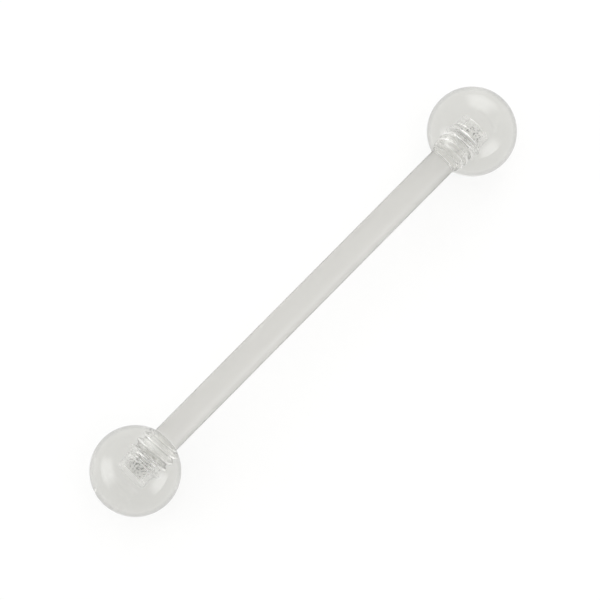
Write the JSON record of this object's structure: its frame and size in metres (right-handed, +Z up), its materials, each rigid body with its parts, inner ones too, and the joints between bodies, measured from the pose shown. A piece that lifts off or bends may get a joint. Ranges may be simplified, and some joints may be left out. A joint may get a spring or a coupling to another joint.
{
  "type": "piercing barbell",
  "caption": "Straight piercing barbell: a slim translucent bar with a clear ball screwed onto each threaded end.",
  "frame": {"origin": "on the surface that the balls rest on, under the middle of the bar", "axes": "+X along the bar from the left ball to the right ball, +Z up from the surface"},
  "size_m": [0.0318, 0.005, 0.005],
  "materials": {
    "translucent_bar": "smooth flexible plastic, faintly milky and translucent, satin gloss",
    "clear_acrylic": "polished clear acrylic with a faint grey cast"
  },
  "bodies": {
    "bar": {"bar": "translucent_bar"},
    "ball_left": {"ball_left": "clear_acrylic"},
    "ball_right": {"ball_right": "clear_acrylic"}
  },
  "joints": [
    {"name": "ball_left_unscrew", "type": "slide", "parent": "bar", "child": "ball_left", "axis": [-1, 0, 0], "range_m": [0, 0.008]},
    {"name": "ball_right_unscrew", "type": "slide", "parent": "bar", "child": "ball_right", "axis": [1, 0, 0], "range_m": [0, 0.008]}
  ]
}
